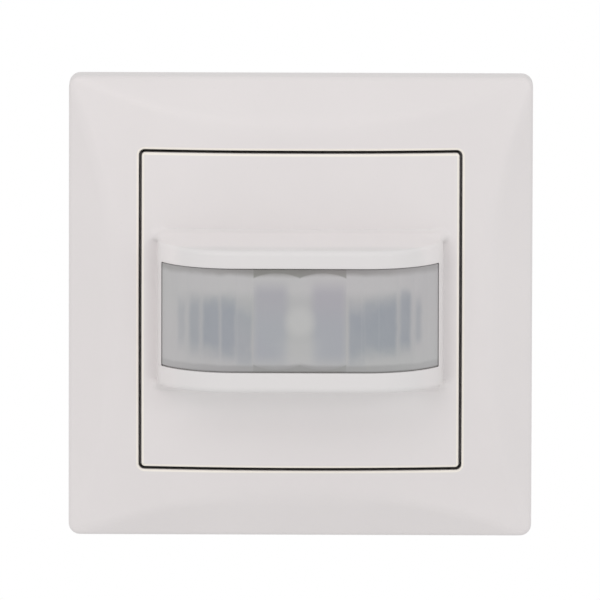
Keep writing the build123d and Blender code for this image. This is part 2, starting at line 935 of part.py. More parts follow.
def make_pyro_window(side):
    window = plate(pyro_window_width, pyro_window_height, side * pyro_place, pyro_z)
    top = pyro_seat + pyro_tall
    return slab(window, top - pyro_window_thick, top)


# A clear guide that brings the room's light to the light sensor
def make_light_guide():
    cup_top = sensor_board_front + guide_cup_tall
    guide = slab(small_disc(guide_cup_radius, 0, pyro_z), sensor_board_front, cup_top)
    hole = small_disc(guide_cup_hole, 0, pyro_z)
    guide -= slab(hole, sensor_board_front, sensor_board_front + guide_cup_hole_deep)
    guide_top = head_front - guide_front_gap
    head_start = guide_top - guide_head_tall
    guide += slab(small_disc(guide_stem_radius, 0, pyro_z), cup_top, head_start)
    head = slab(small_disc(guide_head_radius, 0, pyro_z), head_start, guide_top)
    head = chamfer(head.faces().sort_by(Axis.Y)[-1].edges(), guide_head_radius - guide_stem_radius)
    return guide + head


def make_light_sensor():
    body = plate(light_sensor_side, light_sensor_side, 0, pyro_z)
    return slab(body, sensor_board_front, sensor_board_front + light_sensor_thick)


def make_status_led():
    top = sensor_board_front + led_tall
    led = slab(small_disc(led_radius, 0, led_z), sensor_board_front, top)
    return chamfer(led.faces().sort_by(Axis.Y)[0].edges(), led_edge)


def make_controller_chip():
    back = sensor_board_back - chip_thick
    chip = slab(plate(chip_side, chip_side, chip_x, chip_z), back, sensor_board_back)
    length = chip_side + 2 * chip_pin_reach
    for pin in range(chip_pin_count):
        across = (pin - (chip_pin_count - 1) / 2) * 2 * chip_pin_width
        cross = plate(length, chip_pin_width, chip_x, chip_z + across)
        chip += slab(cross, sensor_board_back - chip_pin_thick, sensor_board_back)
    return chip


def make_choke():
    outline = small_disc(coil_radius, coil_x, chip_z)
    return slab(outline, sensor_board_back - coil_tall, sensor_board_back)


def make_trimmer_body(x):
    outline = plate(trimmer_side, trimmer_side, x, trimmer_z)
    return slab(outline, sensor_board_back - trimmer_thick, sensor_board_back)


def make_trimmer_knob(x):
    front = sensor_board_back - trimmer_thick - running_gap
    back = front - knob_thick
    knob = slab(disc(knob_radius, x, trimmer_z), back, front)
    slot = plate(2 * knob_radius - knob_slot_width, knob_slot_width, x, trimmer_z)
    cross = plate(knob_slot_width, 2 * knob_radius - knob_slot_width, x, trimmer_z)
    return knob - slab(slot + cross, back, back + knob_slot_deep)


def build_nodes():
    nodes = {
        "mounting_ring": make_mounting_ring(),
        "ring_rivets": make_ring_rivets(),
        "insert_housing": make_insert_housing(),
        "insert_lid": make_insert_lid(),
        "power_board": make_power_board(),
        "relay": make_relay(),
        "film_capacitor": make_film_capacitor(),
        "electrolytic_capacitor": make_electrolytic_capacitor(),
        "varistor": make_varistor(),
        "fuse": make_fuse(),
        "contact_bars": make_contact_bars(),
        "header_socket": make_header_socket(),
        "cover_frame": make_cover_frame(),
        "sensor_cover": make_sensor_cover(),
        "fresnel_lens": make_fresnel_lens(),
        "lens_retainer": make_lens_retainer(),
        "sensor_chassis": make_sensor_chassis(),
        "sensor_board": make_sensor_board(),
        "light_guide": make_light_guide(),
        "light_sensor": make_light_sensor(),
        "status_led": make_status_led(),
        "controller_chip": make_controller_chip(),
        "choke": make_choke(),
        "header_strip": make_header_strip(),
        "header_pins": make_header_pins(),
        "time_trimmer_body": make_trimmer_body(-trimmer_place),
        "time_trimmer_knob": make_trimmer_knob(-trimmer_place),
        "light_trimmer_body": make_trimmer_body(trimmer_place),
        "light_trimmer_knob": make_trimmer_knob(trimmer_place),
    }
    for name, side in (("left", -1), ("right", 1)):
        nodes["claw_" + name] = make_claw(side)
        nodes["claw_screw_" + name] = make_claw_screw(side)
        nodes["pyro_holder_" + name] = make_pyro_holder(side)
        nodes["pyro_can_" + name] = make_pyro_can(side)
        nodes["pyro_window_" + name] = make_pyro_window(side)
    for number, x in enumerate(terminal_places(), 1):
        nodes[f"terminal_cage_{number}"] = make_terminal_cage(x)
        nodes[f"terminal_screw_{number}"] = make_terminal_screw(x)
    return nodes


os.makedirs("parts", exist_ok=True)
for name, shape in build_nodes().items():
    export_step(shape, f"parts/{name}.step")
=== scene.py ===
import json
import math

import bmesh
import bpy
from mathutils import Matrix, Vector


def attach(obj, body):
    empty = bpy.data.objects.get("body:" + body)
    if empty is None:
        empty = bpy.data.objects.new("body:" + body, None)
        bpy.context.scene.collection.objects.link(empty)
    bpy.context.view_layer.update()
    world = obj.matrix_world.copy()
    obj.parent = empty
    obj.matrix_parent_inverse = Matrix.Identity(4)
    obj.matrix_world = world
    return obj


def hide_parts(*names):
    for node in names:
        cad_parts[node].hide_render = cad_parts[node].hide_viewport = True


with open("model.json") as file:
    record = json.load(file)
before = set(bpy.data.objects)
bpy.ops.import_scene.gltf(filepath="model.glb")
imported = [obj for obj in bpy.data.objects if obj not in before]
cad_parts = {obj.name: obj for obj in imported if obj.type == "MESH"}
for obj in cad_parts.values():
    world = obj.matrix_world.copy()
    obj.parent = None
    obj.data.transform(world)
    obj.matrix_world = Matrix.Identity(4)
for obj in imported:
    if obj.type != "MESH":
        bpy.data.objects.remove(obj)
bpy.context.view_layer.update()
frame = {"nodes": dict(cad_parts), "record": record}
nodes = frame["nodes"]
print("frame loaded:", len(nodes), "nodes")

mm = 0.001
perMetre = 1000.0  # millimetres


# One socket of a node tree, so that shader maths reads as plain maths
class Wire:
    def __init__(self, owner, socket):
        self.owner = owner
        self.socket = socket

    def pick(self, name):
        return Wire(self.owner, self.socket.node.outputs[name])

    def maths(self, operation, first, second=0.0):
        return self.owner.node("ShaderNodeMath", {"operation": operation}, {0: first, 1: second})

    def __add__(self, other):
        return self.maths("ADD", self, other)

    def __radd__(self, other):
        return self.maths("ADD", other, self)

    def __sub__(self, other):
        return self.maths("SUBTRACT", self, other)

    def __rsub__(self, other):
        return self.maths("SUBTRACT", other, self)

    def __mul__(self, other):
        return self.maths("MULTIPLY", self, other)

    def __rmul__(self, other):
        return self.maths("MULTIPLY", other, self)

    def __truediv__(self, other):
        return self.maths("DIVIDE", self, other)

    def __rtruediv__(self, other):
        return self.maths("DIVIDE", other, self)

    def __abs__(self):
        return self.maths("ABSOLUTE", self)

    def most(self, other):
        return self.maths("MAXIMUM", self, other)

    def root(self):
        return self.maths("SQRT", self)

    def sine(self):
        return self.maths("SINE", self)

    # 0 below the low value, 1 above the high one, soft between
    def step(self, low, high):
        ends = {0: self, 1: low, 2: high, 3: 0.0, 4: 1.0}
        return self.owner.node("ShaderNodeMapRange", {"interpolation_type": "SMOOTHSTEP"}, ends)

    # 1 inside a span, 0 outside, with soft ends
    def span(self, low, high, soft):
        return self.step(low - soft, low + soft) * (1 - self.step(high - soft, high + soft))

    # This colour with another laid over it, as far as the cover says
    def coated(self, cover, tone):
        return self.owner.blend(cover, self, tone)


# A node tree being filled: every node comes from its one method
class Nodes:
    def __init__(self, tree):
        self.tree = tree
        self.tree.nodes.clear()

    def node(self, kind, settings, sockets):
        made = self.tree.nodes.new(kind)
        for name, value in settings.items():
            setattr(made, name, value)
        for key, value in sockets.items():
            socket = made.inputs[key]
            if isinstance(value, Wire):
                self.tree.links.new(value.socket, socket)
            elif socket.type == "RGBA":
                socket.default_value = (*value, 1.0)
            else:
                socket.default_value = value
        return Wire(self, made.outputs[0]) if made.outputs else made


# A material being made, in the object's own coordinates
class Paint(Nodes):
    def __init__(self, name):
        self.material = bpy.data.materials.new(name)
        self.material.use_nodes = True
        super().__init__(self.material.node_tree)
        self.place = self.node("ShaderNodeTexCoord", {}, {}).pick("Object")

    # Position in millimetres along one axis
    def along(self, axis):
        return self.node("ShaderNodeSeparateXYZ", {}, {0: self.place}).pick(axis) * perMetre

    def blend(self, factor, first, second):
        sockets = {0: factor, 6: first, 7: second}
        return self.node("ShaderNodeMix", {"data_type": "RGBA"}, sockets).pick(2)

    def noise(self, scale, detail, roughness=0.5, stretch=(1.0, 1.0, 1.0)):
        sockets = {0: self.place, 1: stretch}
        spot = self.node("ShaderNodeVectorMath", {"operation": "MULTIPLY"}, sockets)
        sockets = {"Vector": spot, "Scale": scale, "Detail": detail, "Roughness": roughness}
        return self.node("ShaderNodeTexNoise", {}, sockets)

    def bump(self, height, distance, strength, under=None):
        sockets = {"Height": height, "Distance": distance, "Strength": strength}
        if under:
            sockets["Normal"] = under
        return self.node("ShaderNodeBump", {}, sockets)

    def surface(self, sockets):
        shader = self.node("ShaderNodeBsdfPrincipled", {}, sockets)
        self.node("ShaderNodeOutputMaterial", {}, {"Surface": shader})
        return self.material


# Finishes. In their settings a noise is its scale, detail, roughness and stretch, a step
# its two ends, a span its two ends and their softness, a cover how much of a layer shows.

# The standard curve between screen values and linear light
screenCurve = {"top": 255, "toe": 11, "toeSlope": 12.92, "offset": 0.055, "power": 2.4}


def linear(value):
    curve = screenCurve
    level = value / curve["top"]
    if value < curve["toe"]:
        return level / curve["toeSlope"]
    return ((level + curve["offset"]) / (1 + curve["offset"])) ** curve["power"]


def colour(red, green, blue):
    return linear(red), linear(green), linear(blue)


def shade(tone, share):
    return tuple(min(1.0, value * share) for value in tone)


# Moulded plastic: faint colour drift, spark-eroded grain, fine scuffs
plasticPaint = {
    "cloud": (60.0, 3.0),
    "cloudStep": (0.25, 0.75),
    "cloudRough": 0.10,
    "speck": (900.0, 2.0),
    "speckStep": (0.62, 0.7),
    "speckShade": 0.55,
    "scuff": (220.0, 5.0, 0.7, (1.0, 0.25, 1.0)),
    "scuffStep": (0.6, 0.72),
    "scuffRough": 0.05,
    "grainDetail": (4.0, 0.6),
    "bump": 0.6,
    "coatRough": 0.2,
    "refraction": 1.48,
}


def mouldedPlastic(name, screenTone, roughness, grain, depth, drift, coat=0.0, speck=0.0):
    look = plasticPaint
    paint = Paint(name)
    tone = colour(*screenTone)
    cloud = paint.noise(*look["cloud"])
    drifted = cloud.step(*look["cloudStep"])
    base = paint.blend(drifted, shade(tone, 1 - drift), shade(tone, 1 + drift))
    if speck:
        specks = paint.noise(*look["speck"]).step(*look["speckStep"])
        base = base.coated(specks * speck, shade(tone, look["speckShade"]))
    texture = paint.noise(grain, *look["grainDetail"])
    scuff = paint.noise(*look["scuff"]).step(*look["scuffStep"])
    rough = roughness + (cloud - 0.5) * look["cloudRough"] + scuff * look["scuffRough"]
    return paint.surface({
        "Base Color": base,
        "Roughness": rough,
        "Normal": paint.bump(texture, depth, look["bump"]),
        "Coat Weight": coat,
        "Coat Roughness": look["coatRough"],
        "IOR": look["refraction"],
    })


# Plated or bare sheet metal: rolled grain along one axis, stains and small scratches
metalPaint = {
    "grain": (420.0, 4.0, 0.7),
    "grainStep": (0.3, 0.8),
    "grainCover": 0.25,
    "grainShade": 0.7,
    "grainRough": 0.16,
    "cloud": (140.0, 4.0, 0.6),
    "cloudStep": (0.45, 0.8),
    "cloudRough": 0.1,
    "scratch": (700.0, 2.0, 0.5),
    "scratchStep": (0.63, 0.68),
    "scratchRough": 0.08,
    "scratchShare": 0.6,
    "depth": 0.000012,
    "bump": 0.6,
}


def platedMetal(name, screenTone, screenTarnish, roughness, stretch, stain=0.35):
    look = metalPaint
    paint = Paint(name)
    tone, tarnish = colour(*screenTone), colour(*screenTarnish)
    grain = paint.noise(*look["grain"], stretch)
    cloud = paint.noise(*look["cloud"])
    crosswise = (stretch[2], 1.0, stretch[0])
    scratch = paint.noise(*look["scratch"], crosswise).step(*look["scratchStep"])
    base = paint.blend(cloud.step(*look["cloudStep"]) * stain, tone, tarnish)
    streaks = grain.step(*look["grainStep"]) * look["grainCover"]
    base = base.coated(streaks, shade(tone, look["grainShade"]))
    worn = grain * look["grainRough"] + cloud * look["cloudRough"]
    relief = grain + scratch * look["scratchShare"]
    return paint.surface({
        "Base Color": base,
        "Metallic": 1.0,
        "Roughness": roughness + worn - scratch * look["scratchRough"],
        "Normal": paint.bump(relief, look["depth"], look["bump"]),
    })


# Circuit board: woven glass under solder mask, with copper tracks showing as lighter green
boardPaint = {
    "mask": (0.010, 0.075, 0.030),
    "track": (0.030, 0.180, 0.070),
    "thread": (0.05, 0.16, 0.06),
    "pad": (0.45, 0.44, 0.40),
    "wander": (90.0, 1.0),
    "trackWander": 3.0,
    "trackTurns": 2.1,
    "trackStep": (0.55, 0.75),
    "trackCover": 0.8,
    "rowWander": 2.0,
    "rowTurns": 0.9,
    "rowStep": (-0.1, 0.1),
    "weaveTurns": 12.0,
    "weaveCover": 0.15,
    "weaveRise": 0.2,
    "weaveRough": 0.1,
    "padScale": 420.0,
    "padStep": (0.16, 0.13),
    "padCover": 0.7,
    "depth": 0.00003,
    "bump": 0.7,
    "roughness": 0.34,
    "coat": 0.3,
}


def circuitBoard(name):
    look = boardPaint
    paint = Paint(name)
    across, up = paint.along("X"), paint.along("Z")
    wander = paint.noise(*look["wander"])
    tracks = (across + wander * look["trackWander"]) * look["trackTurns"]
    rows = (up + wander * look["rowWander"]) * look["rowTurns"]
    copper = tracks.sine().step(*look["trackStep"]) * rows.sine().step(*look["rowStep"])
    threads = (across * look["weaveTurns"]).sine() * (up * look["weaveTurns"]).sine()
    weave = threads * 0.5 + 0.5
    spots = {"Vector": paint.place, "Scale": look["padScale"]}
    pads = paint.node("ShaderNodeTexVoronoi", {}, spots).step(*look["padStep"])
    base = paint.blend(copper * look["trackCover"], look["mask"], look["track"])
    base = base.coated(weave * look["weaveCover"], look["thread"])
    base = base.coated(pads * look["padCover"], look["pad"])
    relief = copper + weave * look["weaveRise"]
    return paint.surface({
        "Base Color": base,
        "Roughness": look["roughness"] + weave * look["weaveRough"],
        "Normal": paint.bump(relief, look["depth"], look["bump"]),
        "Coat Weight": look["coat"],
    })


# Clear or tinted moulding with faint flow lines
clearPaint = {
    "flowDetail": (3.0, 0.5, (1.0, 0.3, 1.0)),
    "flowStep": (0.3, 0.7),
    "flowShade": 0.88,
    "flowRough": 0.06,
    "depth": 0.00004,
    "bump": 0.5,
    "coat": 0.6,
}


def clearMoulding(name, screenTone, alpha, roughness, scale):
    look = clearPaint
    paint = Paint(name)
    tone = colour(*screenTone)
    flow = paint.noise(scale, *look["flowDetail"])
    streaks = flow.step(*look["flowStep"])
    return paint.surface({
        "Base Color": paint.blend(streaks, shade(tone, look["flowShade"]), tone),
        "Roughness": roughness + flow * look["flowRough"],
        "Alpha": alpha,
        "Normal": paint.bump(flow, look["depth"], look["bump"]),
        "Coat Weight": look["coat"],
    })


# The crown that the frame and the centre plate share, in millimetres
crownPlan = {"radius": 205.0, "apex": 13.4}

# Front mouldings: satin white, with painted shade down in the gap between them, a painted
# highlight on the rims, painted light on the head's upper slope and on the plate just below the
# head, and painted shade on the head's lips
frontPaint = {
    "frameTone": colour(223, 220, 220),
    "frameGap": (27.95, 28.6),
    "frameRim": (28.02, 28.4),
    "coverTone": colour(224, 221, 221),
    "coverGap": (27.3, 27.55),
    "coverRim": (27.08, 27.46),
    "cloud": (45.0, 4.0, 0.55),
    "cloudStep": (0.2, 0.8),
    "cloudShades": (0.985, 1.012),
    "cloudRough": 0.08,
    "dust": (1500.0, 2.0, 0.6),
    "dustStep": (0.66, 0.76),
    "dustCover": 0.10,
    "dustShade": 0.8,
    # painted light on the head's upper slope and painted shade on its lips, by height and by rise
    # over the crown
    "upperLightTone": colour(229, 226, 226),
    "upperHigh": (8.5, 10.5),
    "upperRise": (0.4, 1.6),
    "lipShadeTone": colour(220, 219, 219),
    "lipRise": (7.5, 10.0),
    # painted light on the plate just below the head, where the head's shadow falls
    "belowLightTone": colour(231, 229, 229),
    "belowHigh": (-21.0, -14.5),
    "belowEnd": (-12.0, -10.0),
    "belowRise": (0.6, 2.0),
    "belowSide": (19.0, 25.0),
    # painted highlight along the rounded rims beside the gap
    "rimHighlightTone": colour(246, 242, 230),
    "rimSoft": 0.08,
    "rimCover": 0.7,
    # painted shade on the walls down in the gap
    "gapShadeTone": colour(146, 143, 140),
    "gapSoft": 0.06,
    "gapDepth": (0.35, 1.1),
    "gapFloor": (4.2, 5.2),
    "gapRough": 0.3,
    "cornerStart": 26.95,
    "grain": (5200.0, 3.0, 0.6),
    "grainDepth": 0.000006,
    "grainBump": 0.5,
    "ripple": (70.0, 2.0, 0.4),
    "rippleDepth": 0.00006,
    "rippleBump": 0.35,
    "roughness": 0.36,
    "refraction": 1.48,
}


def frontFinish(part):
    look = frontPaint
    tone, gap, rim = [look[part + kind] for kind in ("Tone", "Gap", "Rim")]
    paint = Paint(part + "SatinWhite")
    x, z = paint.along("X"), paint.along("Z")
    depth = paint.along("Y") * -1.0
    crown = crownPlan["apex"] - (x * x + z * z) / (2 * crownPlan["radius"])
    rise = depth - crown
    sunk = (crown - depth).step(*look["gapDepth"])
    # how far out a place lies, measured round the opening's soft corners
    start = look["cornerStart"]
    right, up = (abs(x) - start).most(0.0), (abs(z) - start).most(0.0)
    reach = (right * right + up * up).root() + start
    # painted shade: the walls down in the gap where the frame and the plate meet
    beside = reach.span(*gap, look["gapSoft"]) * sunk * depth.step(*look["gapFloor"])
    cloud = paint.noise(*look["cloud"])
    low, high = look["cloudShades"]
    base = paint.blend(cloud.step(*look["cloudStep"]), shade(tone, low), shade(tone, high))
    dust = paint.noise(*look["dust"]).step(*look["dustStep"])
    base = base.coated(dust * look["dustCover"], shade(tone, look["dustShade"]))
    # painted light on the head's upper slope
    upper = z.step(*look["upperHigh"]) * rise.step(*look["upperRise"])
    base = base.coated(upper, look["upperLightTone"])
    # painted shade on the head's lips
    base = base.coated(rise.step(*look["lipRise"]), look["lipShadeTone"])
    # painted light on the plate below the head, lifting its shadow
    below = z.step(*look["belowHigh"]) * (1 - z.step(*look["belowEnd"]))
    level = (1 - rise.step(*look["belowRise"])) * (1 - abs(x).step(*look["belowSide"]))
    base = base.coated(below * level, look["belowLightTone"])
    # painted highlight on the rims beside the gap
    rimHighlight = reach.span(*rim, look["rimSoft"]) * (1 - sunk)
    base = base.coated(rimHighlight * look["rimCover"], look["rimHighlightTone"])
    # lay the painted shade into the gap
    base = base.coated(beside, look["gapShadeTone"])
    texture = paint.noise(*look["grain"])
    ripple = paint.noise(*look["ripple"])
    grained = paint.bump(texture, look["grainDepth"], look["grainBump"])
    cloudy = (cloud - 0.5) * look["cloudRough"]
    return paint.surface({
        "Base Color": base,
        "Roughness": look["roughness"] + cloudy + beside * look["gapRough"],
        "Normal": paint.bump(ripple, look["rippleDepth"], look["rippleBump"], grained),
        "IOR": look["refraction"],
    })


# Where the lens's elements lie, in millimetres: its mesh and its paint both follow this
lensPlan = {
    "middle": 0.27,
    "firstStrip": 8.0,
    "roundPlace": 4.0,
    "roundReach": 9.7,
    "roundTop": -1.14,
    "roundBottom": 1.42,
}

# Lens: milky film, each element showing its own blurred view of the sensors behind
lensPaint = {
    "film": colour(171, 172, 173),
    "wander": (260.0, 2.0, 0.5),
    "ends": colour(183, 183, 184),
    "endStep": (15.0, 23.0),
    "topStep": (3.2, 5.8),
    "topCover": 0.85,
    "footStep": (-7.4, -5.2),
    "footCover": 0.35,
    "zone": colour(144, 150, 158),
    "veilSide": (11.5, 19.5, 1.2),
    "veilHigh": (-5.6, 3.2, 2.2),
    "veilCover": 0.26,
    # bar: side, from, to, bottom, top, strength
    "bars": [
        (-1, 8.3, 11.0, -6.6, 2.4, 0.62),
        (-1, 11.1, 13.6, -5.5, 3.4, 0.86),
        (-1, 14.0, 16.7, -5.0, 3.2, 0.78),
        (-1, 17.4, 19.0, -4.9, 4.0, 0.58),
        (-1, 19.8, 21.1, -4.6, 3.2, 0.42),
        (1, 8.5, 11.3, -6.4, 2.6, 0.84),
        (1, 11.2, 13.9, -5.6, 3.4, 0.88),
        (1, 13.7, 16.6, -5.4, 3.7, 0.88),
        (1, 17.3, 19.1, -4.9, 4.4, 0.78),
        (1, 20.0, 21.0, -4.5, 3.1, 0.54),
    ],
    "barWander": 0.5,
    "barSoft": 0.42,
    "barRise": 4.0,
    "barFade": 1.9,
    "mottle": (420.0, 2.0, 0.5, (1.0, 1.0, 0.5)),
    "mottleShare": 0.5,
    "mottleRest": 0.72,
    "line": colour(177, 180, 184),
    "lines": [10.7, 13.65, 16.85, 19.3, 21.3],
    "lineHalf": 0.04,
    "lineSoft": 0.13,
    "lineHigh": (-7.95, 8.05, 0.5),
    "lineCover": 0.28,
    "wedge": colour(140, 142, 138),
    "roundSoft": 0.15,
    "tint": colour(161, 161, 168),
    "tintLow": colour(159, 162, 169),
    "tintStep": (-2.0, 4.0),
    "tintSide": (2.2, 7.9, 1.1),
    "tintHigh": (-7.15, 6.05, 1.8),
    "tintCover": 0.92,
    "centre": colour(183, 184, 184),
    "dropPlace": -0.25,
    "dropSize": (6.6, 7.4),
    "dropStep": (0.4, 1.35),
    "dropCover": 0.9,
    "columnSide": (0.4, 2.4),
    "columnHigh": (0.45, 7.45, 1.0),
    "columnCover": 0.2,
    "baseSide": (0.8, 5.0),
    "baseHigh": (-7.55, -3.35, 1.4),
    "baseCover": 0.4,
    "strip": colour(150, 150, 151),
    "stripWander": 0.6,
    "stripStep": (-8.05, -7.45),
    "stripSide": (8.0, 24.0),
    "stripFade": 0.5,
    "stripCover": 0.75,
    # painted shade along the film's edges, under the lips and in the recess
    "edgeShade": colour(124, 122, 120),
    "borderWander": 0.8,
    "borderStep": (7.35, 8.5),
    "borderSide": (6.0, 22.0),
    "borderFade": 0.45,
    "borderFoot": (8.75, 9.1),
    "borderEnd": (23.7, 24.0),
    "borderEndCover": 0.6,
    "borderCover": 0.75,
    "hue": (55.0, 2.0),
    "rosy": colour(188, 176, 186),
    "rosyStep": (0.45, 0.7),
    "rosyCover": 0.08,
    "leafy": colour(168, 184, 172),
    "leafyStep": (0.3, 0.5),
    "leafyCover": 0.06,
    "grain": (3800.0, 3.0, 0.6),
    "grainRough": 0.08,
    "ringTurns": 9.0,
    "ringShare": 0.3,
    "depth": 0.000006,
    "bump": 0.5,
    "roughness": 0.44,
    "refraction": 1.5,
}


def lensFinish(name):
    look, plan = lensPaint, lensPlan
    paint = Paint(name)
    x, z = paint.along("X"), paint.along("Z")
    side, height = abs(x), z - plan["middle"]
    wander = paint.noise(*look["wander"]) - 0.5
    base = paint.blend(side.step(*look["endStep"]), look["film"], look["ends"])
    base = base.coated(height.step(*look["topStep"]) * look["topCover"], look["ends"])
    foot = 1 - height.step(*look["footStep"])
    base = base.coated(foot * look["footCover"], look["ends"])
    # the blurred sensors, as each strip shows them, and the lines between strips
    veil = side.span(*look["veilSide"]) * height.span(*look["veilHigh"])
    base = base.coated(veil * look["veilCover"], look["zone"])
    mottle = paint.noise(*look["mottle"]) * look["mottleShare"] + look["mottleRest"]
    for turn, start, end, bottom, top, strength in look["bars"]:
        wide = (x * turn + wander * look["barWander"]).span(start, end, look["barSoft"])
        high = (height + wander * look["barRise"]).span(bottom, top, look["barFade"])
        base = base.coated(wide * high * mottle * strength, look["zone"])
    for place in look["lines"]:
        wide = side.span(place - look["lineHalf"], place + look["lineHalf"], look["lineSoft"])
        line = wide * height.span(*look["lineHigh"])
        base = base.coated(line * look["lineCover"], look["line"])
    # the two round elements in the middle
    across = side - plan["roundPlace"]
    high, low = z - plan["roundTop"], z - plan["roundBottom"]
    upperAway = (across * across + high * high).root()
    away = upperAway.most((across * across + low * low).root())
    soft = look["roundSoft"]
    field = 1 - side.step(plan["firstStrip"] - soft, plan["firstStrip"] + soft)
    inside = 1 - away.step(plan["roundReach"] - soft, plan["roundReach"] + soft)
    base = base.coated(field * (1 - inside), look["wedge"])
    tint = side.span(*look["tintSide"]) * height.span(*look["tintHigh"]) * field
    lavender = paint.blend(height.step(*look["tintStep"]), look["tintLow"], look["tint"])
    base = base.coated(tint * look["tintCover"], lavender)
    # the bright drop between them, with its column above and its wider foot
    under = height - look["dropPlace"]
    dropWide, dropHigh = look["dropSize"]
    drop = 1 - (x * x / dropWide + under * under / dropHigh).root().step(*look["dropStep"])
    base = base.coated(drop * look["dropCover"], look["centre"])
    for part in ("column", "base"):
        glow = (1 - side.step(*look[part + "Side"])) * height.span(*look[part + "High"])
        base = base.coated(glow * look[part + "Cover"], look["centre"])
    # a darker strip near the film's foot, and painted shade along its top edge under the lip,
    # along its foot and at both ends
    strip = 1 - (height + wander * look["stripWander"]).step(*look["stripStep"])
    strip = strip * (1 - side.step(*look["stripSide"]) * look["stripFade"])
    base = base.coated(strip * look["stripCover"], look["strip"])
    # painted shade under the top lip, along the foot and at both ends
    edgeShade = (height + wander * look["borderWander"]).step(*look["borderStep"])
    edgeShade = edgeShade * (1 - side.step(*look["borderSide"]) * look["borderFade"])
    edgeShade = edgeShade.most((height * -1.0).step(*look["borderFoot"]))
    edgeShade = edgeShade.most(side.step(*look["borderEnd"]) * look["borderEndCover"])
    base = base.coated(edgeShade * look["borderCover"], look["edgeShade"])
    hue = paint.noise(*look["hue"])
    base = base.coated(hue.step(*look["rosyStep"]) * look["rosyCover"], look["rosy"])
    leafy = 1 - hue.step(*look["leafyStep"])
    base = base.coated(leafy * look["leafyCover"], look["leafy"])
    grain = paint.noise(*look["grain"])
    rings = (away * look["ringTurns"]).sine() * inside * field * look["ringShare"]
    return paint.surface({
        "Base Color": base,
        "Roughness": look["roughness"] + grain * look["grainRough"],
        "Normal": paint.bump(grain + rings, look["depth"], look["bump"]),
        "IOR": look["refraction"],
    })


# slot: name, tone, roughness, grain scale, grain depth in metres, colour drift, coat, specks
mouldings = {
    "retainer_plastic": ("retainerWhite", (205, 205, 202), 0.5, 2600.0, 0.00001, 0.04),
    "chassis_plastic": ("chassisBlack", (46, 46, 48), 0.52, 2400.0, 0.00003, 0.10),
    "housing_plastic": ("housingGrey", (176, 177, 174), 0.55, 1900.0, 0.00003, 0.05, 0.0, 0.25),
    "lid_plastic": ("lidGrey", (184, 185, 182), 0.5, 2200.0, 0.00003, 0.05, 0.0, 0.2),
    "relay_plastic": ("relayBlue", (24, 62, 116), 0.36, 2400.0, 0.00001, 0.07),
    "film_plastic": ("capacitorYellow", (196, 164, 64), 0.44, 2200.0, 0.00001, 0.06),
    "can_sleeve": ("sleeveBlack", (30, 30, 34), 0.34, 1200.0, 0.00001, 0.10, 0.3),
    "varistor_coat": ("coatBlue", (52, 96, 168), 0.32, 500.0, 0.00005, 0.06, 0.4),
    "socket_plastic": ("socketBlack", (38, 38, 38), 0.48, 2600.0, 0.00001, 0.10),
    "pyro_filter": ("filterDark", (48, 46, 56), 0.18, 2600.0, 0.000004, 0.14, 0.5),
    "chip_plastic": ("chipBlack", (40, 40, 42), 0.5, 4200.0, 0.00001, 0.10),
    "coil_ferrite": ("ferriteDark", (58, 58, 62), 0.56, 3000.0, 0.00002, 0.12, 0.0, 0.3),
    "trimmer_plastic": ("trimmerDark", (64, 66, 76), 0.44, 2600.0, 0.00001, 0.08),
    "knob_plastic": ("knobOrange", (226, 138, 46), 0.4, 2600.0, 0.00001, 0.06),
}
# slot: name, tone, tarnish, roughness, stretch of the rolled grain, stain
metals = {
    "ring_steel": ("zincSheet", (168, 170, 172), (122, 124, 122), 0.3, (1.0, 1.0, 14.0)),
    "claw_steel": ("yellowZinc", (190, 170, 110), (150, 140, 150), 0.3, (1.0, 10.0, 1.0), 0.6),
    "screw_steel": ("zincScrew", (176, 177, 174), (120, 120, 116), 0.26, (1.0, 1.0, 3.0)),
    "rivet_steel": ("zincRivet", (166, 167, 168), (118, 118, 116), 0.3, (1.0, 1.0, 2.0)),
    "cage_brass": ("clampBrass", (205, 174, 104), (140, 110, 62), 0.28, (1.0, 8.0, 1.0)),
    "bar_copper": ("tinnedCopper", (196, 140, 108), (140, 96, 76), 0.3, (1.0, 8.0, 1.0)),
    "pin_metal": ("goldFlash", (214, 184, 112), (160, 132, 74), 0.22, (1.0, 8.0, 1.0)),
    "can_metal": ("nickelCan", (180, 180, 178), (132, 132, 130), 0.24, (1.0, 1.0, 2.0)),
}
# slot: name, tone, alpha, roughness, scale of the flow lines
clears = {
    "guide_clear": ("guideClear", (226, 230, 234), 0.55, 0.08, 300.0),
    "fuse_glass": ("fuseGlass", (214, 220, 222), 0.7, 0.06, 500.0),
    "led_body": ("diodeRed", (206, 60, 52), 0.85, 0.12, 500.0),
}

finishes = {"lens_film": lensFinish("milkyLensFilm"), "board_green": circuitBoard("boardGreen")}
for part in ("frame", "cover"):
    finishes[part + "_plastic"] = frontFinish(part)
for table, make in ((mouldings, mouldedPlastic), (metals, platedMetal), (clears, clearMoulding)):
    for slot, row in table.items():
        finishes[slot] = make(*row)
for subpart in frame["record"]["subparts"]:
    for holder in nodes[subpart["node"]].material_slots:
        holder.material = finishes[subpart["material_slot"]]
print("finishes made:", len(finishes))


# Shapes, all worked out in millimetres: x right, z up, depth towards the room

def crownDepth(x, z):
    radius = crownPlan["radius"]
    return crownPlan["apex"] - radius + math.sqrt(radius * radius - x * x - z * z)


# The smaller of two values, with the crease between them rounded
def softLeast(first, second, blend):
    near = max(blend - abs(first - second), 0.0) / blend
    return min(first, second) - near * near * blend / 4


# From one value to another, by a share of the way
def mix(first, second, share):
    return first + (second - first) * share


# The same for every figure of an outline
def mixOutlines(first, second, share):
    return [mix(one, other, share) for one, other in zip(first, second)]


# Cosine and sine at even steps of a quarter turn
def quarterTurn(steps, first=0):
    for step in range(first, steps + 1):
        angle = math.pi / 2 * step / steps
        yield math.cos(angle), math.sin(angle)


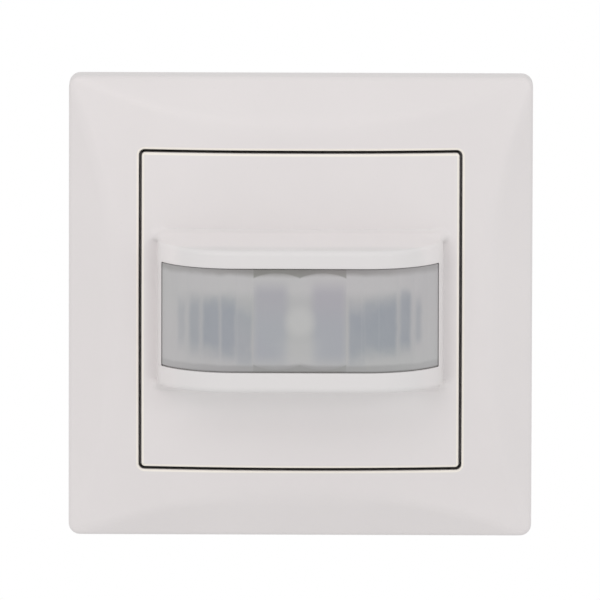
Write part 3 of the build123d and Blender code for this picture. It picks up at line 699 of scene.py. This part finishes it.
# Points round a rounded rectangle, the same count and order for every ring; the warp
# moves those of its level sides, which are even without one
def ringPoints(halfX, lowZ, highZ, corner, counts, warp=float):
    across, up, turn = counts
    insideX, straightZ = halfX - corner, highZ - lowZ - 2 * corner
    points = []

    def arc(centreX, centreZ, start):
        for step in range(turn):
            angle = start + math.pi / 2 * step / turn
            spot = centreX + corner * math.cos(angle), centreZ + corner * math.sin(angle)
            points.append(spot)

    for step in range(across):
        points.append((insideX * warp(2 * step / across - 1), lowZ))
    arc(insideX, lowZ + corner, -math.pi / 2)
    for step in range(up):
        points.append((halfX, lowZ + corner + straightZ * step / up))
    arc(insideX, highZ - corner, 0.0)
    for step in range(across):
        points.append((insideX * warp(1 - 2 * step / across), highZ))
    arc(-insideX, highZ - corner, math.pi / 2)
    for step in range(up):
        points.append((-halfX, highZ - corner - straightZ * step / up))
    arc(-insideX, lowZ + corner, math.pi)
    return points


# A closed skin from rings of equal count; the last ring joins the first
def skin(rings):
    count = len(rings[0])
    points = [point for ring in rings for point in ring]
    faces = []
    for level in range(len(rings)):
        here, there = level * count, (level + 1) % len(rings) * count
        for step in range(count):
            after = (step + 1) % count
            faces.append((here + step, here + after, there + after, there + step))
    return points, faces


# A closed box-like block from a lower and an upper outline of equal count
def block(lower, upper):
    count = len(lower)
    points = list(lower) + list(upper)
    faces = [tuple(range(count)), tuple(range(2 * count - 1, count - 1, -1))]
    for step in range(count):
        after = (step + 1) % count
        faces.append((after, step, count + step, count + after))
    return points, faces


# A new object, linked into the scene
def newObject(name, data):
    made = bpy.data.objects.new(name, data)
    bpy.context.scene.collection.objects.link(made)
    return made


def makePiece(name, shapes, body, slot, smoothAngle):
    mesh = bpy.data.meshes.new(name)
    points, faces = [], []
    for shapePoints, shapeFaces in shapes:
        start = len(points)
        points += [(x * mm, -depth * mm, z * mm) for x, depth, z in shapePoints]
        faces += [tuple(start + index for index in face) for face in shapeFaces]
    mesh.from_pydata(points, [], faces)
    mesh.validate()
    mesh.update()
    piece = newObject(name, mesh)
    facing = bmesh.new()
    facing.from_mesh(mesh)
    bmesh.ops.recalc_face_normals(facing, faces=facing.faces)
    facing.to_mesh(mesh)
    facing.free()
    mesh.shade_smooth()
    mesh.set_sharp_from_angle(angle=math.radians(smoothAngle))
    mesh.materials.append(finishes[slot])
    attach(piece, body)
    return piece


# Cover frame: crowned, with four bevels that run out at the corners
coverFrame = {
    "half": 40.2,
    "corner": 2.0,
    "edge": 0.6,
    "edgeSteps": 6,
    "rim": 5.6,
    "sideShares": (0.25, 0.5, 0.75),
    "bevelAngle": math.radians(33.0),
    "bevelEnd": math.radians(10.0),
    "bevelFlat": 6.4,
    "bevelRound": 14.0,
    "crease": 0.5,
    "frontRings": 40,
    "opening": 28.0,
    "openingCorner": 1.0,
    "openingEdge": 0.3,
    "openingSteps": 4,
    "openingShares": (0.3, 0.7),
    "ledge": 26.0,
    "ledgeDepths": (5.6, 4.0),
    "innerRear": 1.5,
    "innerHalf": 29.6,
    "innerCorner": 3.1,
    "outerCorner": 1.0,
    "roofShares": (0.0, 0.12, 0.3, 0.5, 0.7, 0.85, 1.0),
    "wall": 1.9,
    "rearEdge": 0.2,
    "counts": (96, 96, 8),
    "smoothAngle": 35.0,
    "ribPlace": 19.04,
    "ribHalf": 0.5,
    "ribRear": 3.0,
    "ribSteps": 8,
    "ribOverlap": 0.3,
}


# The bevel's depth at a distance from the middle: a flat slope, a round, a gentler slope
def bevelDepth(reach):
    form = coverFrame
    angle, last, radius = form["bevelAngle"], form["bevelEnd"], form["bevelRound"]
    flat, rim = form["bevelFlat"], form["rim"]
    lowX = form["half"] - flat * math.cos(angle)
    centreX = lowX - radius * math.sin(angle)
    centreDepth = rim + flat * math.sin(angle) - radius * math.cos(angle)
    if reach >= lowX:
        return rim + (form["half"] - reach) * math.tan(angle)
    highX = centreX + radius * math.sin(last)
    if reach >= highX:
        return centreDepth + math.sqrt(radius ** 2 - (reach - centreX) ** 2)
    return centreDepth + radius * math.cos(last) + (highX - reach) * math.tan(last)


def frameDepth(x, z):
    crease = coverFrame["crease"]
    bevels = softLeast(bevelDepth(abs(x)), bevelDepth(abs(z)), crease)
    return softLeast(crownDepth(x, z), bevels, crease)


def makeCoverFrame():
    form = coverFrame
    half, corner, edge = form["half"], form["corner"], form["edge"]
    rings = []

    def ring(reach, turn, depth):
        spots = ringPoints(reach, -reach, reach, turn, form["counts"])
        rings.append([(x, depth(x, z), z) for x, z in spots])

    def levelRing(reach, turn, depth):
        ring(reach, turn, lambda x, z: depth)

    # outside, from the rear edge over the rim to the opening
    levelRing(half - form["rearEdge"], corner, 0.0)
    levelRing(half, corner, form["rearEdge"])
    for share in form["sideShares"]:
        ring(half, corner, lambda x, z: (frameDepth(x, z) - edge) * share)
    for cosine, sine in quarterTurn(form["edgeSteps"]):
        inset, drop = edge * (1 - cosine), edge * (1 - sine)
        ring(half - inset, corner - inset, lambda x, z: frameDepth(x, z) - drop)
    opening, turn, lip = form["opening"], form["openingCorner"], form["openingEdge"]
    start, end = (half - edge, corner - edge), (opening + lip, turn + lip)
    for step in range(1, form["frontRings"]):
        ring(*mixOutlines(start, end, step / form["frontRings"]), frameDepth)
    for cosine, sine in quarterTurn(form["openingSteps"]):
        away, drop = lip * (1 - sine), lip * (1 - cosine)
        ring(opening + away, turn + away, lambda x, z: frameDepth(x, z) - drop)
    # down the opening, round the ledge and back under the roof
    front, rear = form["ledgeDepths"]
    for share in form["openingShares"]:
        ring(opening, turn, lambda x, z: mix(frameDepth(x, z) - lip, front, share))
    levelRing(opening, turn, front)
    levelRing(form["ledge"], turn, front)
    levelRing(form["ledge"], turn, rear)
    levelRing(opening, turn, rear)
    levelRing(opening, turn, form["innerRear"])
    wall, inner = form["wall"], (form["innerHalf"], form["innerCorner"])
    outer = half - wall, form["outerCorner"]
    levelRing(*inner, form["innerRear"])
    for share in form["roofShares"]:
        ring(*mixOutlines(inner, outer, share), lambda x, z: frameDepth(x, z) - wall)
    levelRing(*outer, 0.0)
    shapes = [skin(rings)]
    for place in (-form["ribPlace"], form["ribPlace"]):
        for side in (-1, 1):
            for turned in (False, True):
                shapes.append(makeRib(place, side, turned))
    return makePiece("frameMoulding", shapes, "frame", "frame_plastic", form["smoothAngle"])


# A stiffening rib under the frame's roof, its crest buried in the roof
def makeRib(place, side, turned):
    form = coverFrame
    start = form["innerHalf"] - form["ribOverlap"]
    end = form["half"] - form["wall"] + form["ribOverlap"]
    near, far = [], []
    for step in range(form["ribSteps"] + 1):
        along = mix(start, end, step / form["ribSteps"]) * side
        for spots, edge in ((near, -1), (far, 1)):
            offset = place + edge * form["ribHalf"]
            x, z = (offset, along) if turned else (along, offset)
            spots.append((x, frameDepth(x, z) - form["wall"] / 2, z))
    upper = near + far[::-1]
    lower = [(x, form["ribRear"], z) for x, top, z in upper]
    return block(lower, upper)


frameMoulding = makeCoverFrame()
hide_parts("cover_frame")
print("cover frame made")


# Centre plate with the raised, bowed sensor head and its window
sensorCover = {
    "half": 27.5,
    "corner": 0.6,
    "edge": 0.35,
    "edgeSteps": 5,
    "skirtRear": 5.9,
    "skirtShares": (0.35, 0.7),
    "wall": 1.7,
    "roof": 1.9,
    "innerCorner": 1.0,
    "innerShares": (0.5, 1.0),
    "plateRings": 26,
    "headHalf": 24.7,
    "headFlat": 11.0,
    "headRound": 14.3,
    "headCentre": 10.7,
    "headTop": 12.5,
    "headBottom": -12.35,
    "headCorner": 0.5,
    "earRise": 0.4,
    "earPower": 6,
    "rootSide": 2.35,
    "rootTop": 2.0,
    "rootBottom": 1.6,
    "rootShare": 0.85,
    "rootBend": 1.6,
    "rootSteps": 12,
    "flankDip": 0.5,
    "wallSteps": 12,
    "rimRound": 1.0,
    "rimSide": 0.5,
    "rimSteps": 8,
    "faceSteps": 8,
    "leastCorner": 0.03,
    "windowHalf": 24.08,
    "windowTop": 9.36,
    "windowBottom": -8.83,
    "windowCorner": 0.15,
    "windowEdge": 0.16,
    "windowSteps": 4,
    "windowInset": 0.02,
    "lipThick": 0.8,
    "slotTop": 10.2,
    "slotBottom": -10.7,
    "counts": (150, 56, 6),
    "smoothAngle": 35.0,
}


# Depth of the head's bowed front, or of a face set in from it
def bowDepth(x, inset=0.0):
    form = sensorCover
    radius = form["headRound"] - inset
    past = max(abs(x) - form["headFlat"], 0.0)
    return form["headCentre"] + math.sqrt(max(radius * radius - past * past, 0.0))


# Spreads points evenly along the bow instead of evenly across
def bowWarp(share):
    flat, radius, half = [sensorCover["head" + part] for part in ("Flat", "Round", "Half")]
    along = abs(share) * (flat + radius * math.asin((half - flat) / radius))
    x = along if along < flat else flat + radius * math.sin((along - flat) / radius)
    return math.copysign(x / half, share)


# How far a rounded edge has fallen, for a place within its radius of the edge
def edgeDrop(within, radius):
    past = radius - max(min(within, radius), 0.0)
    return radius - math.sqrt(max(radius * radius - past * past, 0.0))


# The head's upper edge climbs a little towards its two ends
def earLift(x):
    share = min(abs(x) / sensorCover["headHalf"], 1.0)
    return sensorCover["earRise"] * share ** sensorCover["earPower"]


# The head's front with its rounded rims
def headDepth(x, z):
    form = sensorCover
    within = min(form["headTop"] + earLift(x) - z, z - form["headBottom"])
    beside = edgeDrop(form["headHalf"] - abs(x), form["rimSide"])
    return bowDepth(x) - edgeDrop(within, form["rimRound"]) - beside


# 1 beside the head, 0 above and below it, blended round its corners
def besideHead(x, z):
    form = sensorCover
    turn = form["headCorner"]
    across = max(abs(x) - form["headHalf"] + turn, 0.0)
    up = max(z - form["headTop"] + turn, form["headBottom"] + turn - z, 0.0)
    return across * across / (across * across + up * up) if across else 0.0


# How far the head's bowed front stands above the crowned plate
def wallHeight(x, z):
    return bowDepth(min(abs(x), sensorCover["headHalf"])) - crownDepth(x, z)


# The plate round the head: it climbs above and below, and dips beside it
def rootDepth(x, z, rise, near):
    beside = besideHead(x, z)
    climb = rise * wallHeight(x, z) * (1 - beside)
    dip = sensorCover["flankDip"] * beside * near * near * (3 - 2 * near)
    return crownDepth(x, z) + climb - dip


def makeSensorCover():
    form = sensorCover
    half, corner, edge = form["half"], form["corner"], form["edge"]
    rings = []

    # An outline is half a width, a bottom, a top and a corner. The climb is the share of
    # the ears' rise that its upper edge takes.
    def ring(outline, depth, climb=0.0):
        halfX, low, high, turn = outline
        spots = ringPoints(*outline, form["counts"], bowWarp)
        lifted = [(x, z + earLift(x) * climb * max(z - low, 0.0) / (high - low)) for x, z in spots]
        rings.append([(x, depth(x, z), z) for x, z in lifted])

    def plateRing(reach, turn, depth):
        ring((reach, -reach, reach, turn), depth)

    # skirt, edge and plate, up to the head's root
    rear = form["skirtRear"]
    plateRing(half, corner, lambda x, z: rear)
    for share in form["skirtShares"]:
        plateRing(half, corner, lambda x, z: mix(rear, crownDepth(x, z) - edge, share))
    for cosine, sine in quarterTurn(form["edgeSteps"]):
        inset, drop = edge * (1 - cosine), edge * (1 - sine)
        plateRing(half - inset, corner - inset, lambda x, z: crownDepth(x, z) - drop)
    wide, low, high, turn = [form["head" + part] for part in ("Half", "Bottom", "Top", "Corner")]
    start, rootSide = half - edge, form["rootSide"]
    plate = start, -start, start, corner - edge
    root = wide + rootSide, low - form["rootBottom"], high + form["rootTop"], turn + rootSide
    head = wide, low, high, turn
    for step in range(1, form["plateRings"]):
        ring(mixOutlines(plate, root, step / form["plateRings"]), crownDepth)
    # the soft root and the head's walls
    for cosine, sine in quarterTurn(form["rootSteps"]):
        rise = form["rootShare"] * sine ** form["rootBend"]
        ring(mixOutlines(head, root, 1 - sine), lambda x, z: rootDepth(x, z, rise, sine))
    rise = form["rootShare"]
    for step in range(1, form["wallSteps"]):
        share = step / form["wallSteps"]
        ring(head, lambda x, z: mix(rootDepth(x, z, rise, 1.0), headDepth(x, z), share), share)
    # the rounded rim and the face, in to the window
    rim, rimSide, least = form["rimRound"], form["rimSide"], form["leastCorner"]
    for cosine, sine in quarterTurn(form["rimSteps"]):
        inset = 1 - cosine
        across, up = rimSide * inset, rim * inset
        ring((wide - across, low + up, high - up, max(turn - across, least)), headDepth, 1.0)
    face = wide - rimSide, low + rim, high - rim, least
    wide, low, high, turn = [form["window" + part] for part in ("Half", "Bottom", "Top", "Corner")]
    grow, inset = form["windowEdge"], form["windowInset"]
    window = wide - inset, low - grow, high + grow, turn
    for step in range(1, form["faceSteps"] + 1):
        share = step / form["faceSteps"]
        ring(mixOutlines(face, window, share), headDepth, 1 - share)
    for step, (cosine, sine) in enumerate(quarterTurn(form["windowSteps"], 1), 2):
        away, drop = grow * (1 - sine), grow * (1 - cosine)
        outline = wide - inset * step, low - away, high + away, turn
        ring(outline, lambda x, z: headDepth(x, z) - drop)
    # behind the lips, along the lens's slot and under the plate's roof
    thick, roof, reach = form["lipThick"], form["roof"], half - form["wall"]
    ring((wide - inset * step, low, high, turn), lambda x, z: bowDepth(x, thick))
    slot = wide, form["slotBottom"], form["slotTop"], turn
    inner = reach, -reach, reach, form["innerCorner"]
    ring(slot, lambda x, z: bowDepth(x, thick))
    for share in form["innerShares"]:
        ring(slot, lambda x, z: mix(bowDepth(x, thick), crownDepth(x, z) - roof, share))
    for share in form["innerShares"]:
        ring(mixOutlines(slot, inner, share), lambda x, z: crownDepth(x, z) - roof)
    ring(inner, lambda x, z: rear)
    shapes, angle = [skin(rings)], form["smoothAngle"]
    return makePiece("sensorCover", shapes, "sensor_head", "cover_plastic", angle)


coverPiece = makeSensorCover()
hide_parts("sensor_cover")
print("sensor cover made")


# Segmented lens: two round elements in the middle, upright strips on both sides
segmentedLens = {
    "half": 24.04,
    "bottom": -10.66,
    "top": 10.16,
    "face": 0.83,
    "thick": 0.74,
    "stripPitch": 3.05,
    "stripRise": 0.08,
    "stripHigh": 8.3,
    "stripFade": 0.6,
    "roundRise": 0.12,
    "roundEdge": 0.35,
    "roundFade": 0.12,
    "field": 0.36,
    "fieldHalf": 24.04,
    "fieldHigh": 9.07,
    "fieldEdge": 0.14,
    "endRise": 0.34,
    "endStart": 17.0,
    "columns": 240,
    "rows": 84,
    "smoothAngle": 50.0,
}


# Where a length along the lens lies in plan, for a face set in from the head's front
def lensSpot(length, inset):
    flat, radius, centre = [sensorCover["head" + part] for part in ("Flat", "Round", "Centre")]
    past = abs(length) - flat
    if past <= 0:
        return length, centre + radius - inset
    angle = past / (radius - segmentedLens["face"])
    x = flat + (radius - inset) * math.sin(angle)
    return math.copysign(x, length), centre + (radius - inset) * math.cos(angle)


# How far the lens stands out of its face: the raised field and each element's own relief
def lensRise(length, z):
    form, plan = segmentedLens, lensPlan
    side, height = abs(length), abs(z - plan["middle"])
    x, depth = lensSpot(length, form["face"])
    high = (form["fieldHigh"] - height) / form["fieldEdge"]
    wide = (form["fieldHalf"] - abs(x)) / form["fieldEdge"]
    field = max(min(high, wide, 1.0), 0.0)
    end = max(abs(x) - form["endStart"], 0.0) / (form["half"] - form["endStart"])
    lift = (form["field"] + form["endRise"] * end * end) * field
    if side < plan["firstStrip"]:
        across = side - plan["roundPlace"]
        upperAway = math.hypot(across, z - plan["roundTop"])
        away = max(upperAway, math.hypot(across, z - plan["roundBottom"]))
        share = max(min((plan["roundReach"] - away) / form["roundEdge"], 1.0), 0.0)
        fade = min(1.0, (plan["firstStrip"] - side) / form["roundFade"])
        return lift + form["roundRise"] * share * fade
    place = (side - plan["firstStrip"]) / form["stripPitch"] % 1.0
    fade = max(min(form["stripHigh"] - height, form["stripFade"]), 0.0) / form["stripFade"]
    return lift + form["stripRise"] * (1 - (2 * place - 1) ** 2) * fade


def makeLens():
    form = segmentedLens
    flat, radius = sensorCover["headFlat"], sensorCover["headRound"] - form["face"]
    length = flat + radius * math.asin((form["half"] - flat) / radius)
    columns, rows = form["columns"], form["rows"]
    points, faces = [], []
    for layer in (0, 1):
        for column in range(columns + 1):
            along = mix(-length, length, column / columns)
            for row in range(rows + 1):
                z = mix(form["bottom"], form["top"], row / rows)
                inset = form["thick"] if layer else -lensRise(along, z)
                x, depth = lensSpot(along, form["face"] + inset)
                points.append((x, depth, z))
    size = (columns + 1) * (rows + 1)
    for column in range(columns):
        for row in range(rows):
            low = column * (rows + 1) + row
            high = low + rows + 1
            faces.append((low, high, high + 1, low + 1))
            faces.append((size + low, size + low + 1, size + high + 1, size + high))
    rim = [column * (rows + 1) for column in range(columns)]
    rim += [columns * (rows + 1) + row for row in range(rows)]
    rim += [column * (rows + 1) + rows for column in range(columns, 0, -1)]
    rim += range(rows, 0, -1)
    for first, second in zip(rim, rim[1:] + rim[:1]):
        faces.append((first, size + first, size + second, second))
    shapes, angle = [(points, faces)], form["smoothAngle"]
    return makePiece("segmentedLens", shapes, "sensor_head", "lens_film", angle)


lensPiece = makeLens()
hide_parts("fresnel_lens")
print("lens made")


# Threads on the two claw screws, wound in one unbroken helix
clawThread = {
    "places": {"claw_screw_left": (-20.6, -11.0), "claw_screw_right": (20.6, 11.0)},
    "start": -0.4,
    "end": -20.3,
    "valley": 1.42,
    "crest": 1.86,
    "crestWidth": 1.3,
    "pitch": 0.7,
    "around": 28,
    "perTurn": 8,
    "taper": 6,
    "endShare": 0.6,
    "smoothAngle": 60.0,
}


def makeThread(body, place):
    form = clawThread
    centreX, centreZ = place
    start, end, pitch, around = [form[name] for name in ("start", "end", "pitch", "around")]
    levels = round((start - end) / pitch * form["perTurn"])
    rings = []
    for level in range(levels + 1):
        depth = mix(start, end, level / levels)
        taper = min(1.0, level / form["taper"], (levels - level) / form["taper"])
        ring = []
        for step in range(around):
            angle = 2 * math.pi * step / around
            phase = (depth / pitch + step / around) % 1.0
            flank = min((1 - abs(2 * phase - 1)) * form["crestWidth"], 1.0)
            radius = form["valley"] + (form["crest"] - form["valley"]) * flank * taper
            spot = centreX + radius * math.cos(angle), centreZ + radius * math.sin(angle)
            ring.append((spot[0], depth, spot[1]))
        rings.append(ring)

    # a smaller ring at the same depth, so that the end closes towards the core
    def shrunk(ring):
        share = form["endShare"]
        return [(mix(centreX, x, share), depth, mix(centreZ, z, share)) for x, depth, z in ring]

    rings = [shrunk(rings[0])] + rings + [shrunk(rings[-1])]
    return makePiece("thread_" + body, [skin(rings)], body, "screw_steel", form["smoothAngle"])


for body, place in clawThread["places"].items():
    makeThread(body, place)
print("threads made")


# Floor far below, pale near the object and fading into the white around it; two lamps,
# and a room that is a little dimmer behind the object than in front of it
studio = {
    "floorHeight": -0.30,
    "floorHalf": 3.0,
    "floorTone": (0.90, 0.90, 0.90),
    "fade": (250.0, 600.0),
    "white": (1.0, 1.0, 1.0),
    "ambient": 0.905,
    "ambientBehind": 0.76,
    "turnover": (-0.3, 0.3),
    "ambientTone": (1.0, 0.995, 0.99),
    "lamps": [
        # name, place, size, watts, tone; both look at the object's origin
        ("softTopLeft", (-0.36, -0.9, 0.66), 0.8, 1.75, (1.0, 0.88, 0.88)),
        ("glintRight", (0.68, -0.95, 0.34), 0.22, 0.65, (1.0, 0.98, 1.0)),
    ],
    "cameraTarget": (-0.000105, 0.0, 0.000298),
    "cameraDistance": 3.2,
    "cameraElevation": 8.4,
    "cameraAzimuth": 0.3,
    "cameraRoll": 0.15,
    "cameraClip": (0.01, 20.0),
    "focal": 1104.8,
    "sensorWidth": 36.0,
}

floorMesh = bpy.data.meshes.new("floor")
half, height = studio["floorHalf"], studio["floorHeight"]
corners = [(x * half, z * half, height) for x, z in ((-1, -1), (1, -1), (1, 1), (-1, 1))]
floorMesh.from_pydata(corners, [], [(0, 1, 2, 3)])
floor = newObject("floor", floorMesh)
paint = Paint("paleFloor")
seen = paint.node("ShaderNodeLightPath", {}, {})
x, y = paint.along("X"), paint.along("Y")
far = (x * x + y * y).root().step(*studio["fade"])
direct = seen.pick("Is Camera Ray").most(seen.pick("Is Glossy Ray"))
direct = direct.most(seen.pick("Is Transmission Ray"))
matte = paint.node("ShaderNodeBsdfDiffuse", {}, {"Color": studio["floorTone"]})
glow = paint.node("ShaderNodeEmission", {}, {"Color": studio["white"], "Strength": 1.0})
mixed = paint.node("ShaderNodeMixShader", {}, {0: direct * far, 1: matte, 2: glow})
paint.node("ShaderNodeOutputMaterial", {}, {"Surface": mixed})
floorMesh.materials.append(paint.material)

for name, place, size, watts, tone in studio["lamps"]:
    lamp = bpy.data.lights.new(name, "AREA")
    lamp.shape = "DISK"
    lamp.size = size
    lamp.energy = watts
    lamp.color = tone
    holder = newObject(name, lamp)
    holder.location = place
    holder.rotation_euler = (-Vector(place)).to_track_quat("-Z", "Y").to_euler()

world = bpy.data.worlds.new("softRoom")
bpy.context.scene.world = world
world.use_nodes = True
sky = Nodes(world.node_tree)


def backdrop(tone, strength):
    return sky.node("ShaderNodeBackground", {}, {"Color": tone, "Strength": strength})


# cameras and clear pieces see plain white, everything else is lit by the room
heading = sky.node("ShaderNodeTexCoord", {}, {}).pick("Generated")
turned = sky.node("ShaderNodeSeparateXYZ", {}, {0: heading}).pick("Y").step(*studio["turnover"])
ahead = backdrop(studio["ambientTone"], studio["ambient"])
behind = backdrop(studio["ambientTone"], studio["ambientBehind"])
room = sky.node("ShaderNodeMixShader", {}, {0: turned, 1: ahead, 2: behind})
seen = sky.node("ShaderNodeLightPath", {}, {})
direct = seen.pick("Is Camera Ray").most(seen.pick("Is Transmission Ray"))
white = backdrop(studio["white"], 1.0)
shown = sky.node("ShaderNodeMixShader", {}, {0: direct, 1: room, 2: white})
sky.node("ShaderNodeOutputWorld", {}, {"Surface": shown})
print("studio made")

camera = newObject("camera", bpy.data.cameras.new("camera"))
camera.data.lens = studio["focal"]
camera.data.sensor_width = studio["sensorWidth"]
camera.data.clip_start, camera.data.clip_end = studio["cameraClip"]
turn, rise = math.radians(studio["cameraAzimuth"]), math.radians(studio["cameraElevation"])
away = Vector((math.sin(turn) * math.cos(rise), -math.cos(turn) * math.cos(rise), math.sin(rise)))
camera.location = Vector(studio["cameraTarget"]) + away * studio["cameraDistance"]
look = (-away).to_track_quat("-Z", "Y").to_matrix().to_4x4()
roll = Matrix.Rotation(math.radians(studio["cameraRoll"]), 4, "Z")
camera.rotation_euler = (look @ roll).to_euler()
bpy.context.scene.camera = camera
bpy.context.scene.view_settings.view_transform = "Standard"
print("camera set")
